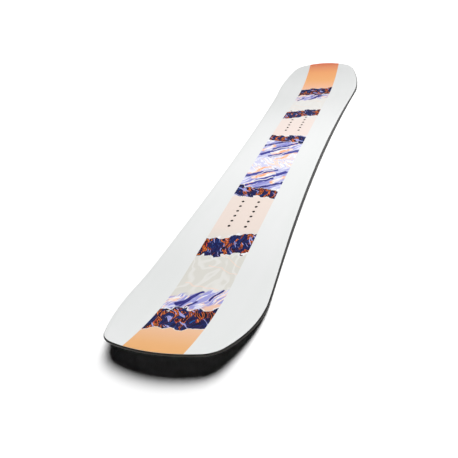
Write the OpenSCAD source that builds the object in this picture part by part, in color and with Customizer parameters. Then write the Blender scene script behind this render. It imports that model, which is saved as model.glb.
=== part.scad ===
// Twin-tip snowboard: wood core sandwich with full-wrap steel edges,
// plastic sidewalls and two 2 x 6 packs of M6 binding inserts.
// X runs from tail (-) to nose (+), Y across the board, Z up.
// Origin: middle of the footprint, at the level of the running surface.

/* [Outline] */
// Width across the steel edges at the waist
waist_width = 245; // [220:1:280]
// Radius of the sidecut at the steel edge
sidecut_radius = 7280; // [6000:10:9000]
// Distance from the waist to the end of the sidecut arc
sidecut_half_length = 531; // [450:1:620]
// Radius of the outline at the widest point
shoulder_radius = 283; // [200:1:400]
// Heading turned through when the tight corner begins, in degrees
shoulder_angle = 26; // [15:1:35]
// Radius of the corner between shoulder and end
corner_radius = 52; // [35:1:90]
// Radius of the blunt end, centred on the long axis
end_radius = 278; // [220:1:400]

/* [Side profile] */
// Camber height of the running surface at the middle
camber = 4.3; // [0:0.1:10]
// Distance from the middle to each contact line
contact_x = 472; // [400:1:560]
// Radius of the upturned nose and tail
tip_radius = 670; // [400:5:1000]
// Distance from the middle where the core begins to thin
taper_start = 290; // [200:5:400]
// Distance from the middle where the core is at its thinnest
taper_end = 636; // [500:1:680]

/* [Lay-up] */
// Thickness of the running base sheet
base_t = 1.2; // [1:0.1:2]
// Thickness of the steel edge flange on top of the base sheet
flange_t = 0.6; // [0.4:0.1:1]
// Thickness of the rubber foil over the edge flange
foil_t = 0.2; // [0.1:0.1:0.5]
// Thickness of each glass laminate
glass_t = 0.7; // [0.4:0.1:1.2]
// Core thickness at the middle
core_mid_t = 6.8; // [5:0.1:9]
// Core thickness at the ends
core_end_t = 1.6; // [1:0.1:3]
// Thickness of the topsheet
topsheet_t = 0.5; // [0.3:0.1:1]
// Thickness of the binding reinforcement mats
mat_t = 0.4; // [0.2:0.1:0.8]

/* [Rim] */
// Width of the steel edge head
edge_w = 2; // [1.5:0.1:3]
// Distance from the outline to the inner rim of the edge flange
flange_in = 7; // [5:0.5:10]
// Distance from the outline to the inner rim of the rubber foil
foil_in = 9; // [6:0.5:12]
// Distance from the outline to the sidewall face
side_out = 1.2; // [0.5:0.1:2]
// Distance from the outline to the inner face of the sidewall
side_in = 10; // [8:0.5:14]
// Distance from the outline to the rim of the topsheet
top_in = 2.1; // [1.5:0.1:4]
// Distance from the outline to the step in the bottom laminate
joggle_in = 14; // [12:0.5:18]

/* [Core] */
// Width of one core strip
strip_w = 21; // [15:1:25]
// Distance from the middle to the butt joint of sidewall and tip spacer
spacer_x = 600; // [560:5:640]
// Radius of the rounded core end
core_end_r = 200; // [150:5:300]
// Distance from the middle to the centre of the rounded core end
core_end_x = 450; // [400:5:500]

/* [Binding inserts] */
// Position of the rear pack's centre
rear_x = -265; // [-320:1:-200]
// Position of the front pack's centre
front_x = 240; // [200:1:320]
// Spacing of the inserts along the board
insert_dx = 20; // [20:20:40]
// Spacing of the two rows across the board
insert_dy = 40; // [40:40:80]
// Inserts in each row
insert_n = 6; // [4:1:8]
// Thread hole radius of an insert
insert_bore_r = 3; // [2.5:0.25:4]
// Hole radius in the skins above an insert
skin_hole_r = 3.5; // [3.2:0.1:5]
// Barrel radius of an insert
barrel_r = 5; // [4:0.25:6]
// Flange radius of an insert
flange_r = 8.5; // [7:0.25:9]
// Flange thickness of an insert
insert_flange_t = 1.4; // [1:0.1:2]
// Height of an insert
insert_h = 6.1; // [5:0.1:6.4]

/* [Hidden] */
$fn = 48;

// heading where the sidecut meets the shoulder, and the arc centres
th = asin(sidecut_half_length / sidecut_radius);
ya = waist_width/2 + sidecut_radius*(1 - cos(th));
bx = sidecut_half_length + shoulder_radius*sin(th);
by = ya - shoulder_radius*cos(th);
cx = bx + (shoulder_radius - corner_radius)*sin(shoulder_angle);
cy = by + (shoulder_radius - corner_radius)*cos(shoulder_angle);
tc = acos(cy/(end_radius - corner_radius));
ex = cx + (corner_radius - end_radius)*sin(tc);

// levels above the running surface: offset plus a share of the core thickness
z_base = base_t;
z_flange = base_t + flange_t;
z_foil = base_t + flange_t + foil_t;
z_glass_in = base_t + glass_t;
z_glass_out = z_foil + glass_t;
z_core = z_glass_in;

// one quarter of the outline, inset by d, from the waist to the end
function quarter(d) = concat(
  [for (i=[0:11]) let(a=th*i/12) [(sidecut_radius+d)*sin(a), waist_width/2 + sidecut_radius - (sidecut_radius+d)*cos(a)]],
  [for (i=[0:11]) let(a=-th+(th+shoulder_angle)*i/12) [bx + (shoulder_radius-d)*sin(a), by + (shoulder_radius-d)*cos(a)]],
  [for (i=[0:11]) let(a=shoulder_angle+(tc-shoulder_angle)*i/12) [cx + (corner_radius-d)*sin(a), cy + (corner_radius-d)*cos(a)]],
  [for (i=[0:7]) let(a=tc+(90-tc)*i/8) [ex + (end_radius-d)*sin(a), (end_radius-d)*cos(a)]],
  [[ex + end_radius - d, 0]]);
function reversed(p) = [for (i=[len(p)-1:-1:0]) p[i]];
function tail(p) = [for (i=[1:len(p)-1]) p[i]];
function mx(p) = [for (q=p) [-q[0], q[1]]];
function my(p) = [for (q=p) [q[0], -q[1]]];
// half outline from the nose, over the left side, to the tail
function half(d) = concat(reversed(quarter(d)), tail(mx(quarter(d))));
function whole(d) = let(h=half(d)) concat(h, [for (i=[len(h)-2:-1:1]) [h[i][0], -h[i][1]]]);

// height of the running surface and thickness of the core at x
function base_z(x) = let(a=abs(x)) a <= contact_x ? camber*pow(1 - pow(a/contact_x, 2), 2)
  : tip_radius - sqrt(pow(tip_radius, 2) - pow(a - contact_x, 2));
function taper(x) = let(t=min(max((abs(x)-taper_start)/(taper_end-taper_start), 0), 1)) t*t*(3-2*t);
function core_t(x) = core_mid_t - (core_mid_t - core_end_t)*taper(x);
function level(x, off, share) = base_z(x) + off + share*core_t(x);

// stations along the board: coarse on the camber, fine on the upturned ends
stations = concat(
  [for (i=[14:-1:1]) -contact_x - i*19],
  [for (i=[-10:10]) contact_x*i/10],
  [for (i=[1:14]) contact_x + i*19]);

// slab between two levels, wider than the board
module slab(off0, share0, off1, share1, y0=-170, y1=170)
  translate([0, y1, 0]) rotate([90, 0, 0]) linear_extrude(height = y1 - y0)
    polygon(concat([for (x=stations) [x, level(x, off0, share0)]],
      [for (i=[len(stations)-1:-1:0]) [stations[i], level(stations[i], off1, share1)]]));

module prism(points) translate([0, 0, -20]) linear_extrude(height = 120) polygon(points);
module plan(d) prism(whole(d));
module half_ring(d0, d1, side)
  prism(let(p=concat(half(d0), reversed(half(d1)))) side > 0 ? p : my(p));

// plan shape of the wood core's rounded ends
core_plan = concat(
  [for (i=[-24:24]) [core_end_x + core_end_r*cos(i*90/24), core_end_r*sin(i*90/24)]],
  [for (i=[-24:24]) [-core_end_x - core_end_r*cos(i*90/24), -core_end_r*sin(i*90/24)]]);

insert_xy = [for (i=[0:insert_n-1]) for (s=[-1, 1]) [(i - (insert_n-1)/2)*insert_dx, s*insert_dy/2]];

module running_base() color([0.09, 0.09, 0.1])
  intersection() { slab(0, 0, z_base, 0); plan(edge_w); }

module steel_edge(side) color([0.62, 0.63, 0.65])
  difference() {
    intersection() { slab(0, 0, z_flange, 0); half_ring(0, flange_in, side); }
    intersection() { slab(-3, 0, z_base, 0); plan(edge_w); }
  }

module edge_foil(side) color([0.15, 0.15, 0.15])
  intersection() { slab(z_flange, 0, z_foil, 0); half_ring(side_out, foil_in, side); }

// the laminate lies on the base sheet and steps up over the edge flange
module glass_bottom() color([0.72, 0.76, 0.62])
  difference() {
    intersection() { slab(z_base, 0, z_glass_out, 0); plan(side_out); }
    difference() { slab(z_base - 3, 0, z_foil, 0); plan(joggle_in - glass_t); }
    intersection() { slab(z_glass_in, 0, z_glass_out + 3, 0); plan(joggle_in); }
  }

// what the core and spacers lose where the laminate steps up
module joggle_step() difference() { slab(0, 0, z_glass_out, 0); plan(joggle_in); }

module sidewall(side) color([0.06, 0.06, 0.07])
  intersection() {
    slab(z_glass_out, 0, z_core, 1);
    half_ring(side_out, side_in, side);
    translate([-spacer_x, -200, -20]) cube([2*spacer_x, 400, 120]);
  }

module tip_spacer(end) color([0.08, 0.08, 0.09])
  difference() {
    intersection() {
      slab(z_core, 0, z_core, 1);
      plan(side_out);
      translate([end > 0 ? spacer_x : -spacer_x - 200, -200, -20]) cube([200, 400, 120]);
    }
    intersection() { prism(core_plan); plan(side_in); }
    joggle_step();
  }

// barrel and flange recesses for one pack of inserts
module insert_recesses(px, side)
  for (p=insert_xy) if (p[1]*side > 0) translate([px + p[0], p[1], 0]) {
    translate([0, 0, -2]) cylinder(r = barrel_r + 0.1, h = 20);
    translate([0, 0, -2]) cylinder(r = flange_r + 0.1, h = base_z(px + p[0]) + z_core + 0.15 + insert_flange_t + 2.1);
  }

module mat_pocket(px)
  intersection() {
    slab(z_core - mat_t, 1, z_core + 2, 1);
    translate([px - 85, -2.5*strip_w, -20]) cube([170, 5*strip_w, 60]);
  }

module core_strip(i) color(i % 2 == 0 ? [0.86, 0.74, 0.53] : [0.78, 0.62, 0.42])
  difference() {
    intersection() {
      slab(z_core, 0, z_core, 1, i == -5 ? -160 : (i - 0.5)*strip_w, i == 5 ? 160 : (i + 0.5)*strip_w);
      prism(core_plan);
      if (abs(i) == 5) plan(side_in);
    }
    if (abs(i) == 5) joggle_step();
    if (abs(i) <= 2) mat_pocket(rear_x);
    if (abs(i) <= 2) mat_pocket(front_x);
    if (abs(i) == 1) insert_recesses(rear_x, i);
    if (abs(i) == 1) insert_recesses(front_x, i);
  }

module skin_holes(px)
  for (p=insert_xy) translate([px + p[0], p[1], -10]) cylinder(r = skin_hole_r, h = 60);

module insert_mat(px) color([0.88, 0.88, 0.8])
  difference() {
    intersection() {
      slab(z_core - mat_t, 1, z_core, 1);
      translate([px - 85, -2.5*strip_w, -20]) cube([170, 5*strip_w, 60]);
    }
    skin_holes(px);
  }

// one flanged M6 insert, its foot at z = 0
module insert_part()
  difference() {
    union() {
      cylinder(r = flange_r, h = insert_flange_t);
      cylinder(r = barrel_r, h = insert_h);
    }
    translate([0, 0, 1]) cylinder(r = insert_bore_r, h = insert_h);
    translate([0, 0, insert_h - 0.4]) cylinder(r1 = insert_bore_r, r2 = insert_bore_r + 0.5, h = 0.5);
    for (k=[0:3]) rotate([0, 0, 45 + 90*k]) translate([flange_r - 0.8, -1, -1]) cube([3, 2, insert_flange_t + 2]);
  }

module inserts(px) color([0.55, 0.55, 0.56])
  for (p=insert_xy) translate([px + p[0], p[1], base_z(px + p[0]) + z_core + 0.15]) insert_part();

module glass_top() color([0.75, 0.78, 0.66])
  difference() {
    intersection() { slab(z_core, 1, z_core + glass_t, 1); plan(top_in); }
    skin_holes(rear_x);
    skin_holes(front_x);
  }

module topsheet() color([0.95, 0.95, 0.95])
  difference() {
    intersection() { slab(z_core + glass_t, 1, z_core + glass_t + topsheet_t, 1); plan(top_in); }
    skin_holes(rear_x);
    skin_holes(front_x);
  }

running_base();  // base_sheet
steel_edge(1);  // steel_edge_left
steel_edge(-1);  // steel_edge_right
edge_foil(1);  // edge_foil_left
edge_foil(-1);  // edge_foil_right
glass_bottom();
sidewall(1);  // sidewall_left
sidewall(-1);  // sidewall_right
tip_spacer(1);  // tip_spacer_nose
tip_spacer(-1);  // tip_spacer_tail
core_strip(-5);  // core_strip_01
core_strip(-4);  // core_strip_02
core_strip(-3);  // core_strip_03
core_strip(-2);  // core_strip_04
core_strip(-1);  // core_strip_05
core_strip(0);  // core_strip_06
core_strip(1);  // core_strip_07
core_strip(2);  // core_strip_08
core_strip(3);  // core_strip_09
core_strip(4);  // core_strip_10
core_strip(5);  // core_strip_11
insert_mat(front_x);  // insert_mat_front
insert_mat(rear_x);  // insert_mat_rear
inserts(front_x);  // inserts_front
inserts(rear_x);  // inserts_rear
glass_top();
topsheet();
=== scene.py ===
"""Looks of the snowboard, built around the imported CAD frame."""
import bpy
import bmesh
import math
import random
from mathutils import Matrix, Vector


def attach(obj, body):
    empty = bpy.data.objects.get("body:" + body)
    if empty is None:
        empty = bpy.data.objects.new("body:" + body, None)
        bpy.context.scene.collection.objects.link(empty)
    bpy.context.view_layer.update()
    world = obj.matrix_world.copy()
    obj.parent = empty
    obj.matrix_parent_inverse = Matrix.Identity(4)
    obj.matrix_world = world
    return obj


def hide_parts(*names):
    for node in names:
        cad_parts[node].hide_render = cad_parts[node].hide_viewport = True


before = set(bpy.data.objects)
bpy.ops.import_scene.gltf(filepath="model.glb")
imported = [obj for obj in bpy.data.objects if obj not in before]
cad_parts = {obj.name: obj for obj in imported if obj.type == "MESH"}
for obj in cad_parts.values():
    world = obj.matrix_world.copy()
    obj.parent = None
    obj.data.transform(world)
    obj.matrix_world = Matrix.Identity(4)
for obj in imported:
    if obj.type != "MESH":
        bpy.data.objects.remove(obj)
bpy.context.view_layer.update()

# ---------------------------------------------------------------- board form
# the same driving dimensions as the CAD model, in millimetres
WAIST, SIDECUT, SIDECUT_HALF = 245.0, 7280.0, 531.0
SHOULDER_R, SHOULDER_TURN, CORNER_R, END_R = 283.0, math.radians(26), 52.0, 278.0
CAMBER, CONTACT, R_TIP = 4.3, 472.0, 670.0
TAPER0, TAPER1, CORE_MID, CORE_END = 290.0, 636.0, 6.8, 1.6
Z_BASE, Z_FLANGE, Z_FOIL, Z_CORE, Z_GLASS_OUT = 1.2, 1.8, 2.0, 1.9, 2.7
GLASS, TOPSHEET, TOP_IN = 0.7, 0.5, 2.1
REAR_X, FRONT_X = -265.0, 240.0
SPACER_X, CORE_END_X, CORE_END_R = 600.0, 450.0, 200.0
STRIPE = 55.0

SIDECUT_TURN = math.asin(SIDECUT_HALF / SIDECUT)
JOIN_Y = WAIST / 2 + SIDECUT * (1 - math.cos(SIDECUT_TURN))
SHOULDER_X = SIDECUT_HALF + SHOULDER_R * math.sin(SIDECUT_TURN)
SHOULDER_Y = JOIN_Y - SHOULDER_R * math.cos(SIDECUT_TURN)
CORNER_X = SHOULDER_X + (SHOULDER_R - CORNER_R) * math.sin(SHOULDER_TURN)
CORNER_Y = SHOULDER_Y + (SHOULDER_R - CORNER_R) * math.cos(SHOULDER_TURN)
END_TURN = math.acos(CORNER_Y / (END_R - CORNER_R))
END_X = CORNER_X + (CORNER_R - END_R) * math.sin(END_TURN)
PACKS = (REAR_X, FRONT_X)


def base_z(x):
    a = abs(x)
    if a <= CONTACT:
        return CAMBER * (1 - (a / CONTACT) ** 2) ** 2
    return R_TIP - math.sqrt(R_TIP ** 2 - (a - CONTACT) ** 2)


def core_t(x):
    t = min(max((abs(x) - TAPER0) / (TAPER1 - TAPER0), 0), 1)
    return CORE_MID - (CORE_MID - CORE_END) * t * t * (3 - 2 * t)


def level(x, off, share):
    return base_z(x) + off + share * core_t(x)


def quarter_rule():
    """Outline points of one quarter as rules (kind, value), from the waist to the end."""
    xs = {round(SIDECUT_HALF * i / 40, 4) for i in range(40)}
    for px in PACKS:
        for k in range(-6, 7):
            xs.add(abs(px + 10.0 * k))
    rule = [("s", x) for x in sorted(xs) if x < SIDECUT_HALF - 2]
    turn = [-SIDECUT_TURN + (SIDECUT_TURN + SHOULDER_TURN) * i / 30 for i in range(30)]
    turn = sorted(turn + [math.asin((SPACER_X - SHOULDER_X) / SHOULDER_R)])
    rule += [("b", a) for a in turn]
    rule += [("c", SHOULDER_TURN + (END_TURN - SHOULDER_TURN) * i / 30) for i in range(30)]
    rule += [("d", END_TURN + (math.pi / 2 - END_TURN) * i / 16) for i in range(17)]
    return rule


RULE = quarter_rule()


def point(r, d):
    """A point of the quarter outline, inset by d."""
    k, v = r
    if k == "s":
        a = math.asin(v / SIDECUT)
        return v, WAIST / 2 + SIDECUT - math.sqrt((SIDECUT + d) ** 2 - v * v)
    if k == "b":
        return SHOULDER_X + (SHOULDER_R - d) * math.sin(v), SHOULDER_Y + (SHOULDER_R - d) * math.cos(v)
    if k == "c":
        return CORNER_X + (CORNER_R - d) * math.sin(v), CORNER_Y + (CORNER_R - d) * math.cos(v)
    return END_X + (END_R - d) * math.sin(v), max((END_R - d) * math.cos(v), 0.0)


def half(d):
    """Left half outline from nose to tail."""
    q = [point(r, d) for r in RULE]
    return list(reversed(q)) + [(-x, y) for x, y in q[1:]]


HALF_N = 2 * len(RULE) - 1


class Build:
    """A bmesh with vertices merged by place, written in millimetres."""

    def __init__(self):
        self.bm = bmesh.new()
        self.seen = {}

    def v(self, x, y, z):
        key = (round(x, 4), round(y, 4), round(z, 4))
        if key not in self.seen:
            self.seen[key] = self.bm.verts.new((x / 1000, y / 1000, z / 1000))
        return self.seen[key]

    def f(self, *points):
        vs = []
        for p in points:
            q = self.v(*p)
            if q not in vs:
                vs.append(q)
        if len(vs) > 2 and not self.bm.faces.get(vs):
            self.bm.faces.new(vs)

    def done(self, name, material, replaces=(), angle=35.0):
        bm = self.bm
        bmesh.ops.recalc_face_normals(bm, faces=bm.faces)
        for f in bm.faces:
            f.smooth = True
        me = bpy.data.meshes.new(name)
        bm.to_mesh(me)
        bm.free()
        me.set_sharp_from_angle(angle=math.radians(angle))
        me.materials.append(material)
        o = bpy.data.objects.new(name, me)
        bpy.context.scene.collection.objects.link(o)
        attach(o, "root")
        if replaces:
            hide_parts(*replaces)
        return o


# positions across the board: fixed lines near the middle, then even steps to the rim
INNER = [0.0, 10.0, 30.0, 42.0, STRIPE, 66.0]


def across(h):
    k = min(h / 84.0, 1.0)
    inner = [c * k for c in INNER]
    outer = [inner[-1] + (h - inner[-1]) * i / 6 for i in range(1, 7)]
    side = inner + outer
    return [-y for y in reversed(side[1:])] + side


HOLES = [(px - 50 + 20 * i, hy) for px in PACKS for i in range(6) for hy in (-20.0, 20.0)]
RIM_N = 32
# a hole's grid cells reach this far from its centre, and lie this close to their face's level
CELL, FACE_GAP = 10.0, 0.22


def skin(b, off, share, d):
    """A surface over the whole plan at one level, inset by d."""
    line = half(d)
    for (x0, h0), (x1, h1) in zip(line, line[1:]):
        a, c = across(h0), across(h1)
        for j in range(len(a) - 1):
            ps = [(x0, a[j]), (x1, c[j]), (x1, c[j + 1]), (x0, a[j + 1])]
            b.f(*[(px, py, level(px, off, share)) for px, py in ps])


def wall(b, lower, upper):
    """Faces between two closed loops of points."""
    n = len(lower)
    for i in range(n):
        k = (i + 1) % n
        b.f(lower[i], lower[k], upper[k], upper[i])


def loop(d, off, share):
    h = half(d)
    ps = h + [(x, -y) for x, y in reversed(h[1:-1])]
    return [(x, y, level(x, off, share)) for x, y in ps]


def slab(name, material, replaces, section, holes=False):
    """A closed full-plan layer. section lists the rim's corners from the bottom face to the top face,
    each as (inset, offset, share)."""
    b = Build()
    first, last = section[0], section[-1]
    skin(b, first[1], first[2], first[0])
    skin(b, last[1], last[2], last[0])
    for p, q in zip(section, section[1:]):
        wall(b, loop(*p), loop(*q))
    if holes:
        cut_holes(b, holes, (first[1], first[2]), (last[1], last[2]))
    return b.done(name, material, replaces)


def circle(hx, hy, r, off, share):
    """Points on a circle about a hole, at one level of the board."""
    points = []
    for k in range(RIM_N):
        t = 2 * math.pi * k / RIM_N
        x = hx + r * math.cos(t)
        points.append((x, hy + r * math.sin(t), level(x, off, share)))
    return points


def cut_holes(b, rings, low, high):
    """Opens the insert holes: takes out the grid cells over each hole and fills in rings.
    rings runs from the top face to the bottom face, each ring as (radius, offset, share)."""
    bm = b.bm
    near = [[f, f.calc_center_median() * 1000] for f in bm.faces]
    near = [(f, c) for f, c in near if abs(abs(c.y) - 20.0) < CELL]
    for hx, hy in HOLES:
        for (off, share), ring in ((low, rings[-1]), (high, rings[0])):
            z0 = level(hx, off, share)
            gone = [f for f, c in near if f.is_valid and abs(c.x - hx) < CELL
                    and abs(c.y - hy) < CELL and abs(c.z - z0) < FACE_GAP]
            border = []
            for f in gone:
                border += [v for v in f.verts if v not in border]
            bmesh.ops.delete(bm, geom=gone, context="FACES")
            fill_ring(bm, border, [b.v(*p) for p in circle(hx, hy, *ring)], hx, hy)
        for p, q in zip(rings, rings[1:]):
            wall(b, circle(hx, hy, *p), circle(hx, hy, *q))


def fill_ring(bm, border, circ, hx, hy):
    """Triangles between a cell's border and a circle inside it."""
    def angle(v):
        a = math.atan2(v.co.y * 1000 - hy, v.co.x * 1000 - hx) % (2 * math.pi)
        return 0.0 if a > 2 * math.pi - 1e-4 else a

    def turned(ring):
        ring = sorted(ring, key=angle)
        a = [angle(v) for v in ring]
        return ring, a + [x + 2 * math.pi for x in a]

    (border, eb), (circ, ec) = turned(border), turned(circ)
    nb, nc = len(border), len(circ)
    i = j = 0
    while i < nb or j < nc:
        if i >= nb or (j < nc and ec[j + 1] <= eb[i + 1]):
            bm.faces.new((border[i % nb], circ[(j + 1) % nc], circ[j % nc]))
            j += 1
        else:
            bm.faces.new((border[i % nb], border[(i + 1) % nb], circ[j % nc]))
            i += 1


def spacer_index():
    """Where the spacer begins in the quarter outline."""
    for i, (kind, value) in enumerate(RULE):
        if kind == "b" and abs(SHOULDER_X + SHOULDER_R * math.sin(value) - SPACER_X) < 1e-6:
            return i


NOSE_END = len(RULE) - 1 - spacer_index()
TAIL_END = len(RULE) - 1 + spacer_index()


def sweep(name, material, replaces, section, side, first=0, last=HALF_N - 1):
    """A strip along one side: a closed section of (inset, offset, share) corners, swept along the
    half outline."""
    b = Build()
    lines = [half(d) for d, _, _ in section]
    n = len(section)

    def at(k, i):
        x, y = lines[k][i]
        return x, side * y, level(x, section[k][1], section[k][2])

    for i in range(first, last):
        for s in range(n):
            t = (s + 1) % n
            b.f(at(s, i), at(s, i + 1), at(t, i + 1), at(t, i))
    for i in (first, last):
        b.f(*[at(s, i) for s in range(n)])
    return b.done(name, material, replaces)


def spacer(name, material, replaces, rim, end):
    """The plate between the skins at one end, from the wood core's round end to the rim.
    rim runs from the bottom face to the top face."""
    b = Build()
    idx = range(0, NOSE_END + 1) if end > 0 else range(HALF_N - 1, TAIL_END - 1, -1)
    lines = [half(d) for d, _, _ in rim]
    rows = 6

    def inner(x):
        a = abs(x) - CORE_END_X
        return math.sqrt(CORE_END_R ** 2 - a * a) if a < CORE_END_R else 0.0

    def at(k, i, j, side):
        x, y = lines[k][i]
        y0 = min(inner(x), y)
        return x, side * (y0 + (y - y0) * j / rows), level(x, rim[k][1], rim[k][2])

    top = len(rim) - 1
    for side in (1, -1):
        for i, k in zip(idx, idx[1:]):
            for j in range(rows):
                for s in (0, top):
                    b.f(at(s, i, j, side), at(s, k, j, side), at(s, k, j + 1, side), at(s, i, j + 1, side))
            for s in range(top):
                b.f(at(s, i, rows, side), at(s, k, rows, side),
                    at(s + 1, k, rows, side), at(s + 1, i, rows, side))
            if inner(lines[0][i][0]) or inner(lines[0][k][0]):
                b.f(at(0, i, 0, side), at(0, k, 0, side), at(top, k, 0, side), at(top, i, 0, side))
        i = idx[-1]
        for j in range(rows):
            b.f(at(0, i, j, side), at(0, i, j + 1, side), at(top, i, j + 1, side), at(top, i, j, side))
        b.f(*[at(s, i, rows, side) for s in range(top + 1)])
    return b.done(name, material, replaces)


# ---------------------------------------------------------------- shader kit
def lin(c):
    """Linear colour from sRGB numbers 0 to 255."""
    f = lambda v: v / 12.92 if v <= 0.04045 else ((v + 0.055) / 1.055) ** 2.4
    return tuple(f(v / 255) for v in c) + (1.0,)


class E:
    """A number in a node tree; arithmetic on it adds Math nodes."""
    nt = None

    def __init__(self, sock):
        self.s = sock

    @staticmethod
    def op(kind, *args, clamp=False):
        n = E.nt.nodes.new("ShaderNodeMath")
        n.operation = kind
        n.use_clamp = clamp
        for i, a in enumerate(args):
            if isinstance(a, E):
                E.nt.links.new(a.s, n.inputs[i])
            else:
                n.inputs[i].default_value = a
        return E(n.outputs[0])

    def __add__(self, o):
        return E.op("ADD", self, o)

    def __radd__(self, o):
        return E.op("ADD", o, self)

    def __sub__(self, o):
        return E.op("SUBTRACT", self, o)

    def __rsub__(self, o):
        return E.op("SUBTRACT", o, self)

    def __mul__(self, o):
        return E.op("MULTIPLY", self, o)

    def __neg__(self):
        return E.op("MULTIPLY", self, -1.0)


def emin(*a):
    r = a[0]
    for b in a[1:]:
        r = E.op("MINIMUM", r, b)
    return r


def emax(*a):
    r = a[0]
    for b in a[1:]:
        r = E.op("MAXIMUM", r, b)
    return r


def eabs(a):
    return E.op("ABSOLUTE", a)


def sqrt(a):
    return E.op("SQRT", a)


def madd(a, m, c):
    """a times m plus c."""
    return E.op("MULTIPLY_ADD", a, m, c)


def inside(d, w=0.5):
    """1 inside a shape and 0 outside it, with a soft edge w wide."""
    return E.op("MULTIPLY_ADD", d, -1.0 / w, 0.5, clamp=True)


def ramp01(a, lo, hi):
    """0 at lo, 1 at hi, clamped."""
    return E.op("MULTIPLY_ADD", a, 1.0 / (hi - lo), -lo / (hi - lo), clamp=True)


def vec(x, y, z=0.0):
    n = E.nt.nodes.new("ShaderNodeCombineXYZ")
    for i, a in enumerate((x, y, z)):
        if isinstance(a, E):
            E.nt.links.new(a.s, n.inputs[i])
        else:
            n.inputs[i].default_value = a
    return n.outputs[0]


def noise(x, y, size, detail=2.0, z=0.0, rough=0.5, distortion=0.0):
    """Noise from 0 to 1 with features of about that size in the units of x and y. size may be a pair."""
    sx, sy = size if isinstance(size, tuple) else (size, size)
    n = E.nt.nodes.new("ShaderNodeTexNoise")
    E.nt.links.new(vec(x * (1.0 / sx), y * (1.0 / sy), z), n.inputs["Vector"])
    n.inputs["Scale"].default_value = 1.0
    n.inputs["Detail"].default_value = detail
    n.inputs["Roughness"].default_value = rough
    n.inputs["Distortion"].default_value = distortion
    return E(n.outputs[0])


def ramp(fac, stops, constant=False):
    n = E.nt.nodes.new("ShaderNodeValToRGB")
    n.color_ramp.interpolation = "CONSTANT" if constant else "LINEAR"
    el = n.color_ramp.elements
    while len(el) > 1:
        el.remove(el[-1])
    el[0].position, el[0].color = stops[0][0], lin(stops[0][1])
    for p, c in stops[1:]:
        e = el.new(p)
        e.color = lin(c)
    E.nt.links.new(fac.s, n.inputs[0])
    return n.outputs[0]


def mix(fac, a, b):
    """Colour a, or b where fac is 1. Colours are sockets or sRGB numbers."""
    n = E.nt.nodes.new("ShaderNodeMix")
    n.data_type = "RGBA"
    if isinstance(fac, E):
        E.nt.links.new(fac.s, n.inputs[0])
    else:
        n.inputs[0].default_value = fac
    for i, c in ((6, a), (7, b)):
        if isinstance(c, tuple):
            n.inputs[i].default_value = lin(c)
        else:
            E.nt.links.new(c, n.inputs[i])
    return n.outputs[2]


def coords():
    """x, y, z in millimetres on the board."""
    t = E.nt.nodes.new("ShaderNodeTexCoord")
    s = E.nt.nodes.new("ShaderNodeSeparateXYZ")
    E.nt.links.new(t.outputs["Object"], s.inputs[0])
    return tuple(E(s.outputs[i]) * 1000.0 for i in range(3))


def new_mat(name, **sockets):
    m = bpy.data.materials.new(name)
    m.use_nodes = True
    E.nt = m.node_tree
    p = m.node_tree.nodes["Principled BSDF"]
    for k, v in sockets.items():
        p.inputs[k.replace("_", " ")].default_value = v
    return m, p


def bump(p, height, strength, distance=0.0003):
    n = E.nt.nodes.new("ShaderNodeBump")
    n.inputs["Strength"].default_value = strength
    n.inputs["Distance"].default_value = distance
    E.nt.links.new(height.s, n.inputs["Height"])
    E.nt.links.new(n.outputs[0], p.inputs["Normal"])


def capsule(x, y, a, b, r):
    """Signed distance to a stroke from a to b of half width r."""
    (ax, ay), (bx, by) = a, b
    l2 = (bx - ax) ** 2 + (by - ay) ** 2
    t = E.op("MULTIPLY_ADD", y - ay, (by - ay) / l2, (x - ax) * ((bx - ax) / l2), clamp=True)
    dx = (x - ax) - t * (bx - ax)
    dy = (y - ay) - t * (by - ay)
    return sqrt(dx * dx + dy * dy) - r


# ---------------------------------------------------------------- materials
NAVY, INDIGO, LAV, PALE = (20, 22, 76), (70, 70, 148), (158, 158, 214), (206, 207, 236)
BLACK, BLUE, PURPLE = (22, 14, 26), (28, 82, 152), (58, 36, 84)
ORANGE, RED, RUST = (232, 126, 52), (198, 48, 44), (112, 30, 28)
SALMON, PEACH = (250, 166, 120), (248, 208, 184)
CREAM, PCREAM, WHITE = (215, 213, 206), (230, 215, 206), (238, 237, 240)


def turned(x, y, angle):
    c, s = math.cos(math.radians(angle)), math.sin(math.radians(angle))
    return x * c + y * s, y * c - x * s


def hatch(x, y, angle, seed, pitch=6.0):
    """Painted strokes in warm and dark tones, running along angle."""
    u, v = turned(x, y, angle)
    n = noise(u, v, (pitch * 7.0, pitch), 1.2, seed, 0.5)
    return ramp(n, [(0.0, NAVY), (0.35, BLACK), (0.41, ORANGE), (0.435, RED), (0.455, BLACK), (0.505, ORANGE),
                    (0.535, RUST), (0.555, BLACK), (0.595, NAVY), (0.64, ORANGE)], True)


def facets(x, y, angle, seed, pitch=8.0):
    """The same strokes in dark blues."""
    u, v = turned(x, y, angle)
    n = noise(u, v, (pitch * 3.5, pitch), 2.0, seed, 0.5)
    return ramp(n, [(0.0, BLACK), (0.34, NAVY), (0.45, (24, 52, 112)), (0.49, NAVY), (0.55, BLACK),
                    (0.585, PURPLE), (0.62, NAVY), (0.68, BLUE)], True)


def smear(x, y, angle, seed, size, stops):
    u, v = turned(x, y, angle)
    return ramp(noise(u, v, size, 2.0, seed, 0.5), stops, True)


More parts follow.
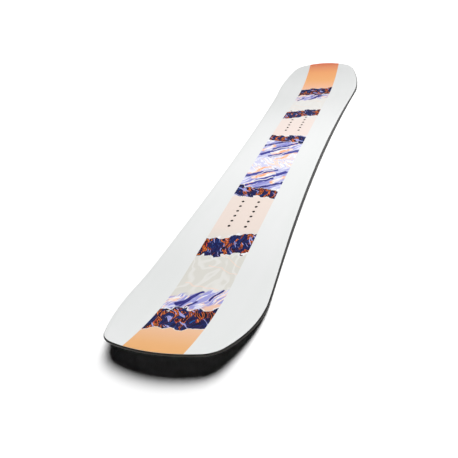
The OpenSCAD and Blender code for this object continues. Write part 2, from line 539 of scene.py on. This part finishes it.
class Art:
    """Coordinates for one zone of the printed stripe. The nose half repeats the tail half turned round,
    a little shorter, so u and v run as on the tail half; a and b are warped to ragged edges, p and q to
    flowing ones."""

    def __init__(self, x, y, nose):
        self.x, self.y = x, y
        self.u, self.v = x, y
        if nose:
            self.u = emin(-42.0 - x, -195.0 + (153.0 - x) * (1 / 0.885))
            self.v = -y
        self.a = madd(noise(self.u, self.v, 8.0, 3.0, 3.1, 0.55) - 0.5, 12.0, self.u)
        self.b = madd(noise(self.u, self.v, 8.0, 3.0, 8.7, 0.55) - 0.5, 12.0, self.v)
        self.p = madd(noise(self.u, self.v, 30.0, 1.0, 5.3) - 0.5, 20.0, self.u)
        self.q = madd(noise(self.u, self.v, 30.0, 1.0, 1.9) - 0.5, 20.0, self.v)


def strokes(x, y, seed, start, end, count, angle, length, r):
    """Signed distance to slanting brush strokes, dealt out from a seed between start and end."""
    rng = random.Random(seed)
    every = []
    for i in range(count):
        cx = start + (end - start) * (i + rng.uniform(0.25, 0.75)) / count
        cy = rng.uniform(-42.0, 42.0)
        turn = math.radians(angle + rng.uniform(-10.0, 10.0))
        reach = length * rng.uniform(0.3, 0.55)
        dx, dy = reach * math.cos(turn), reach * math.sin(turn)
        every.append(capsule(x, y, (cx - dx, cy - dy), (cx + dx, cy + dy), r * rng.uniform(0.6, 1.2)))
    return emin(*every)


def ground(x):
    """Ground colours along the stripe."""
    def k(mm):
        return (mm + 720.0) / 1440.0

    return ramp(ramp01(x, -720.0, 720.0), [
        (k(-715), (229, 171, 111)), (k(-690), (231, 175, 119)), (k(-640), (233, 188, 154)),
        (k(-560), (234, 194, 173)), (k(-545), CREAM), (k(-380), CREAM), (k(-320), PCREAM), (k(-195), PCREAM),
        (k(-170), WHITE), (k(130), WHITE), (k(155), (234, 218, 211)), (k(270), (234, 220, 213)),
        (k(300), (226, 224, 220)), (k(450), (228, 226, 222)), (k(500), (244, 200, 172)),
        (k(560), (243, 187, 152)), (k(610), (243, 178, 121)), (k(660), (244, 171, 115)),
        (k(690), (233, 151, 108)), (k(712), (222, 120, 88))])


def marbling(t, col):
    """Broad marbling and a few peach lines on the cream ground."""
    on_cream = inside(eabs(t.u + 465.0) - 66.0, 20.0)
    m = noise(t.p, t.q, (90.0, 50.0), 1.0, 12.0, 0.4, 0.4)
    col = mix(ramp01(E.op("SINE", m * 44.0), 0.2, 0.9) * on_cream * 0.5, col, (233, 232, 230))
    lines = strokes(t.p, t.q, 11, -535.0, -395.0, 3, 72.0, 90.0, 0.8)
    return mix(inside(lines, 3.0) * 0.85, col, (244, 213, 196))


def band(t, centre, reach, slant, seed):
    """Signed distance to a slanting band across the stripe, with uneven sides."""
    lean = madd(t.b, slant, t.a)
    uneven = noise(t.u, t.v, (22.0, 26.0), 1.0, seed) - 0.5
    return madd(uneven, 40.0, eabs(lean - centre) - reach)


def painted(t, col, shape, angle, seed):
    """A patch of warm and dark strokes with a black rim and a pale halo."""
    col = mix(inside(shape - 1.9, 1.3), col, WHITE)
    choice = noise(t.p, t.q, (34.0, 18.0), 1.0, seed)
    warm = hatch(t.p, t.q, angle, seed + 1.0)
    paint = mix(ramp01(choice, 0.47, 0.48), warm, facets(t.p, t.q, -angle, seed + 2.0))
    pale = noise(*turned(t.p, t.q, angle + 20.0), (34.0, 5.0), 2.0, seed + 3.0)
    paint = mix(ramp01(pale, 0.62, 0.635), paint, LAV)
    return mix(inside(shape, 0.6), col, mix(ramp01(shape, -1.6, -0.8), paint, BLACK))


def middle(t, col):
    """Slanting strokes of lavender, indigo, peach and white."""
    a, b, p, q = t.a, t.b, t.p, t.q
    centre = smear(t.x, t.y, 35.0, 7.7, (70.0, 17.0),
                   [(0.0, (206, 206, 234)), (0.38, WHITE), (0.44, (214, 214, 236)), (0.49, (246, 216, 200)),
                    (0.535, WHITE), (0.575, (200, 200, 232)), (0.61, WHITE)])
    col = mix(inside(eabs(t.x + 21.0) - 40.0, 26.0), col, centre)
    flow = smear(p, q, -50.0, 4.4, (60.0, 11.0),
                 [(0.0, (136, 136, 202)), (0.38, LAV), (0.46, (184, 186, 226)), (0.52, PALE), (0.57, WHITE),
                  (0.62, (184, 186, 226)), (0.68, LAV)])
    col = mix(inside(eabs(madd(q, 0.35, p + 116.0)) - 58.0, 7.0), col, flow)
    warm = smear(p, q, -50.0, 2.2, (34.0, 8.0), [(0.0, PEACH), (0.42, SALMON), (0.50, PEACH), (0.60, WHITE)])
    col = mix(inside(strokes(p, q, 25, -150.0, -50.0, 4, -52.0, 60.0, 6.0), 4.0), col, warm)
    dark = smear(p, q, -58.0, 6.6, (50.0, 7.0), [(0.0, INDIGO), (0.47, (88, 90, 162)), (0.57, (42, 40, 104))])
    col = mix(inside(strokes(a, b, 22, -150.0, -70.0, 4, -56.0, 76.0, 7.0), 1.5), col, dark)
    return mix(inside(strokes(p, q, 23, -145.0, -55.0, 4, -56.0, 70.0, 2.4), 1.8), col, WHITE)


def middle_patch(t, col):
    """The painted patch beside the middle."""
    return painted(t, col, band(t, -172.0, 19.0, -0.15, 37.0), 38.0, 20.0)


def side_patch(t, col):
    """The painted patch between the cream ground and the inserts."""
    return painted(t, col, band(t, -383.0, 33.0, 0.2, 41.0), 14.0, 50.0)


def end_patch(t, col):
    """The painted patch at the end, with soft lavender, indigo and peach strokes beside it."""
    a, b, p, q = t.a, t.b, t.p, t.q
    pale = smear(p, q, -36.0, 5.5, (40.0, 8.0),
                 [(0.0, LAV), (0.44, (150, 151, 210)), (0.49, PALE), (0.53, WHITE), (0.57, PEACH),
                  (0.61, LAV)])
    col = mix(inside(band(t, -556.0, 24.0, 0.35, 61.0), 8.0), col, pale)
    ink = smear(p, q, -40.0, 9.9, (40.0, 6.0),
                [(0.0, (48, 46, 120)), (0.5, (62, 60, 136)), (0.6, (48, 46, 120))])
    col = mix(inside(strokes(p, q, 64, -585.0, -530.0, 4, -36.0, 50.0, 4.5), 1.5), col, ink)
    return painted(t, col, band(t, -612.0, 30.0, 0.2, 51.0), 24.0, 40.0)


def topsheet_material(name, nose=False, *layers):
    """Glossy printed sheet: pale panels either side, and the named layers of the stripe."""
    m, p = new_mat(name, Roughness=0.24, Coat_Weight=0.3, Coat_Roughness=0.06, IOR=1.5)
    x, y, z = coords()
    col = mix(ramp01(noise(x, y, (260.0, 60.0), 2.0, 0.7), 0.3, 0.7), (224, 226, 225), (228, 229, 229))
    if layers:
        t = Art(x, y, nose)
        art = ground(x)
        for layer in layers:
            art = layer(t, art)
        col = mix(inside(eabs(y + ramp01(x, -480.0, -700.0) * 1.6) - STRIPE, 0.35), col, art)
    E.nt.links.new(col, p.inputs["Base Color"])
    E.nt.links.new(madd(noise(x, y, (90.0, 14.0), 3.0, 2.0, 0.6), 0.10, 0.18).s, p.inputs["Roughness"])
    bump(p, noise(x, y, 2.2, 2.0, 1.0) + noise(x, y, 26.0, 1.0, 5.0) * 2.0, 0.05)
    return m


def sidewall_material(name, tone=(9, 9, 11)):
    m, p = new_mat(name, IOR=1.5, Specular_IOR_Level=0.22)
    x, y, z = coords()
    streak = noise(x + y * 0.4, z, (46.0, 0.5), 3.0, 0.0, 0.7)
    E.nt.links.new(mix(ramp01(streak, 0.35, 0.75), tone, tuple(c + 9 for c in tone)), p.inputs["Base Color"])
    E.nt.links.new(madd(streak, 0.22, 0.3).s, p.inputs["Roughness"])
    bump(p, streak, 0.25, 0.0001)
    return m


def steel_material(name, grain=(60.0, 0.35), tone=(150, 152, 156)):
    m, p = new_mat(name, Metallic=1.0)
    x, y, z = coords()
    g = noise(x + y, z, grain, 3.0, 0.0, 0.7)
    spots = noise(x, y, 9.0, 3.0, 4.0)
    darker = tuple(int(c * 0.84) for c in tone)
    E.nt.links.new(mix(ramp01(spots, 0.45, 0.75), tone, darker), p.inputs["Base Color"])
    E.nt.links.new(madd(g, 0.25, 0.2).s, p.inputs["Roughness"])
    bump(p, g, 0.2, 0.0001)
    return m


def base_material():
    m, p = new_mat("base_sintered", Roughness=0.45)
    x, y, z = coords()
    grain = noise(x, y, 1.4, 3.0, 0.0, 0.7)
    # the stone grind leaves fine lines along the board
    lines = noise(x, y, (240.0, 0.9), 2.0, 6.0, 0.7)
    E.nt.links.new(mix(ramp01(grain, 0.3, 0.75), (18, 18, 20), (34, 34, 37)), p.inputs["Base Color"])
    E.nt.links.new(madd(grain, 0.2, 0.33).s, p.inputs["Roughness"])
    bump(p, lines + grain * 0.3, 0.3, 0.0001)
    return m


def laminate_material(name, tone):
    m, p = new_mat(name, Roughness=0.35)
    x, y, z = coords()
    weave = E.op("SINE", (x + y) * 2.6) * E.op("SINE", (x - y) * 2.6)
    n = noise(x, y, 5.0, 2.0)
    lighter = tuple(min(255, int(c * 1.35) + 6) for c in tone)
    E.nt.links.new(mix(ramp01(weave * 0.5 + n, 0.1, 0.9), tone, lighter), p.inputs["Base Color"])
    bump(p, weave, 0.2, 0.0001)
    return m


def wood_material(name, a, b):
    m, p = new_mat(name, Roughness=0.6)
    x, y, z = coords()
    n = noise(x, y + z * 2.0, (160.0, 3.0), 3.0, 0.0, 0.6)
    E.nt.links.new(mix(ramp01(n, 0.3, 0.7), a, b), p.inputs["Base Color"])
    bump(p, n, 0.2, 0.0001)
    return m


# the stripe's zones: where each ends along the board, and its material, which names what is painted there
# and whether it repeats the tail half turned round
ZONES = [(-480.0, topsheet_material("topsheet_tail_end", False, marbling, end_patch)),
         (-215.0, topsheet_material("topsheet_tail_side", False, marbling, side_patch)),
         (-21.0, topsheet_material("topsheet_tail_middle", False, middle, middle_patch)),
         (175.0, topsheet_material("topsheet_nose_middle", True, middle, middle_patch)),
         (405.0, topsheet_material("topsheet_nose_side", True, marbling, side_patch)),
         (720.0, topsheet_material("topsheet_nose_end", True, marbling, end_patch))]
panel_mat = topsheet_material("topsheet_panel")
side_mat = sidewall_material("sidewall_abs")
spacer_mat = sidewall_material("spacer_abs", (11, 11, 12))
# painted shade: the steel edge's tone is darkened far below bare steel to stand in for dim, shaded
# reflections along the edge
painted_shade_edge_mat = steel_material("edge_steel", (60.0, 0.35), (78, 75, 71))
foil_mat = sidewall_material("foil_rubber", (16, 16, 16))
base_mat = base_material()
glass_mat = laminate_material("glass_laminate", (52, 52, 46))
mat_mat = laminate_material("mat_laminate", (150, 150, 132))
# painted shade: the inserts' steel is darkened to stand in for the shadow inside the insert holes
insert_mat = steel_material("insert_steel", (0.6, 0.6), (74, 70, 66))
wood_a = wood_material("wood_light", (206, 172, 120), (186, 146, 94))
wood_b = wood_material("wood_dark", (176, 130, 82), (150, 104, 62))

# ---------------------------------------------------------------- pieces
# the side is planed to one slant, from the edge's top to the topsheet's rim
slab("vis_base_sheet", base_mat, ["base_sheet"], [(2.0, 0.05, 0), (2.0, Z_BASE, 0)])
edge_section = [(0.12, 0.0, 0), (0.0, 0.12, 0), (0.0, 1.62, 0), (0.18, Z_FLANGE, 0),
                (7.0, Z_FLANGE, 0), (7.0, Z_BASE, 0), (2.0, Z_BASE, 0), (2.0, 0.0, 0)]
foil_section = [(0.5, Z_FLANGE, 0), (0.52, Z_FOIL, 0), (9.0, Z_FOIL, 0), (9.0, Z_FLANGE, 0)]
planed_rim = [(0.72, Z_GLASS_OUT, 0), (1.86, Z_CORE - 0.15, 1), (1.95, Z_CORE, 1)]
sidewall_section = planed_rim + [(10.0, Z_CORE, 1), (10.0, Z_GLASS_OUT, 0)]
for side, word in ((1, "left"), (-1, "right")):
    sweep("vis_steel_edge_" + word, painted_shade_edge_mat, ["steel_edge_" + word], edge_section, side)
    sweep("vis_edge_foil_" + word, foil_mat, ["edge_foil_" + word], foil_section, side)
    sweep("vis_sidewall_" + word, side_mat, ["sidewall_" + word],
          sidewall_section, side, NOSE_END, TAIL_END)
for end, word in ((1, "nose"), (-1, "tail")):
    spacer("vis_tip_spacer_" + word, spacer_mat, ["tip_spacer_" + word], planed_rim, end)
slab("vis_glass_bottom", glass_mat, ["glass_bottom"],
     [(0.54, Z_FOIL, 0), (0.70, Z_GLASS_OUT, 0)])
slab("vis_glass_top", glass_mat, ["glass_top"],
     [(1.97, Z_CORE, 1), (2.08, Z_CORE + GLASS, 1)],
     [(3.5, Z_CORE + GLASS, 1), (3.5, Z_CORE, 1)])
SHEET_LOW, SHEET_HIGH = Z_CORE + GLASS, Z_CORE + GLASS + TOPSHEET
sheet = slab("vis_topsheet", panel_mat, ["topsheet"],
             [(TOP_IN, SHEET_LOW, 1), (TOP_IN, SHEET_HIGH - 0.16, 1), (TOP_IN + 0.05, SHEET_HIGH - 0.05, 1),
              (TOP_IN + 0.18, SHEET_HIGH, 1)],
             [(3.85, SHEET_HIGH, 1), (3.62, SHEET_HIGH - 0.06, 1), (3.5, SHEET_HIGH - 0.2, 1),
              (3.5, SHEET_LOW, 1)])
for end, mat in ZONES:
    sheet.data.materials.append(mat)
for f in sheet.data.polygons:
    c = f.center * 1000
    if f.normal.z > 0.5 and abs(c.y) < STRIPE + 18:
        f.material_index = 1 + next(i for i, (end, mat) in enumerate(ZONES) if c.x < end)

for name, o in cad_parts.items():
    mat = None
    if name.startswith("core_strip"):
        mat = wood_b if int(name[-2:]) % 2 == 0 else wood_a
    elif name.startswith("inserts"):
        mat = insert_mat
    elif name.startswith("insert_mat"):
        mat = mat_mat
    if mat:
        for s in o.material_slots:
            s.material = mat

# ---------------------------------------------------------------- stage
def stage_floor():
    me = bpy.data.meshes.new("studio_floor")
    b = bmesh.new()
    n, size = 24, 40.0
    steps = [(i / n - 0.5) * size for i in range(n + 1)]
    grid = [[b.verts.new((x, y, -0.0002)) for y in steps] for x in steps]
    for i in range(n):
        for j in range(n):
            b.faces.new((grid[i][j], grid[i + 1][j], grid[i + 1][j + 1], grid[i][j + 1]))
    b.to_mesh(me)
    b.free()
    m, p = new_mat("studio_floor", Roughness=1.0)
    p.inputs["Base Color"].default_value = (0.98, 0.98, 0.98, 1)
    p.inputs["Specular IOR Level"].default_value = 0.0
    x, y, z = coords()
    # away from the board the floor glows, so that it is white in the picture
    away = capsule(x, y, (-640.0, 0.0), (640.0, 0.0), 0.0)
    p.inputs["Emission Color"].default_value = (1, 1, 1, 1)
    E.nt.links.new(ramp01(away, 185.0, 400.0).s, p.inputs["Emission Strength"])
    me.materials.append(m)
    o = bpy.data.objects.new("studio_floor", me)
    bpy.context.scene.collection.objects.link(o)


stage_floor()


def area_light(name, at, to, size, power, spread=180.0):
    l = bpy.data.lights.new(name, "AREA")
    l.shape, l.size, l.size_y, l.energy, l.spread = "ELLIPSE", size[0], size[1], power, math.radians(spread)
    o = bpy.data.objects.new(name, l)
    z = (Vector(at) - Vector(to)).normalized()
    y = z.cross(Vector((1, 0, 0))).normalized()
    x = y.cross(z)
    o.matrix_world = Matrix.Translation(at) @ Matrix((x, y, z)).transposed().to_4x4()
    bpy.context.scene.collection.objects.link(o)


# a broad, distant key from above the nose throws the soft shadow under the tail
key = bpy.data.lights.new("key", "SUN")
key.energy, key.angle = 3.5, math.radians(36)
key_o = bpy.data.objects.new("key", key)
key_o.rotation_euler = Vector((1.95, -0.3, 4.5)).to_track_quat("Z", "Y").to_euler()
key_o.visible_glossy = False
bpy.context.scene.collection.objects.link(key_o)
area_light("glow", (0.12, -0.28, 1.6), (0.16, -0.12, 0), (0.6, 0.6), 1.15, 60)

w = bpy.data.worlds.new("studio")
bpy.context.scene.world = w
w.use_nodes = True
nt = w.node_tree
bg = nt.nodes["Background"]
bg.inputs[0].default_value = (1, 1, 1, 1)
lp = nt.nodes.new("ShaderNodeLightPath")
E.nt = nt
seen, glossy = E(lp.outputs["Is Camera Ray"]), E(lp.outputs["Is Glossy Ray"])
# white to the camera, dim in reflections, and nearly nothing as light
nt.links.new(emax(seen, glossy * 0.14, 0.002).s, bg.inputs[1])
bpy.context.scene.view_settings.view_transform = "Standard"

# ---------------------------------------------------------------- camera
AZ, EL, ROLL = 0.364194, 0.585471, -0.156644
cam = bpy.data.cameras.new("camera")
cam_o = bpy.data.objects.new("camera", cam)
d = Vector((math.cos(EL) * math.cos(AZ), math.cos(EL) * math.sin(AZ), -math.sin(EL)))
r = d.cross(Vector((0, 0, 1))).normalized()
up = r.cross(d)
right = math.cos(ROLL) * r + math.sin(ROLL) * up
top = -math.sin(ROLL) * r + math.cos(ROLL) * up
cam_o.matrix_world = Matrix.Translation((-1.15033, -0.41424, 0.62942)) @ Matrix((
    (right.x, top.x, -d.x, 0), (right.y, top.y, -d.y, 0), (right.z, top.z, -d.z, 0), (0, 0, 0, 1)))
cam.sensor_width = 36.0
# the shift sets the optical centre off the middle of the frame
cam.lens = 38.907511
cam.shift_x = -0.10305677
cam.shift_y = -0.02189956
cam.clip_start = 0.01
cam.dof.use_dof = False
bpy.context.scene.collection.objects.link(cam_o)
bpy.context.scene.camera = cam_o
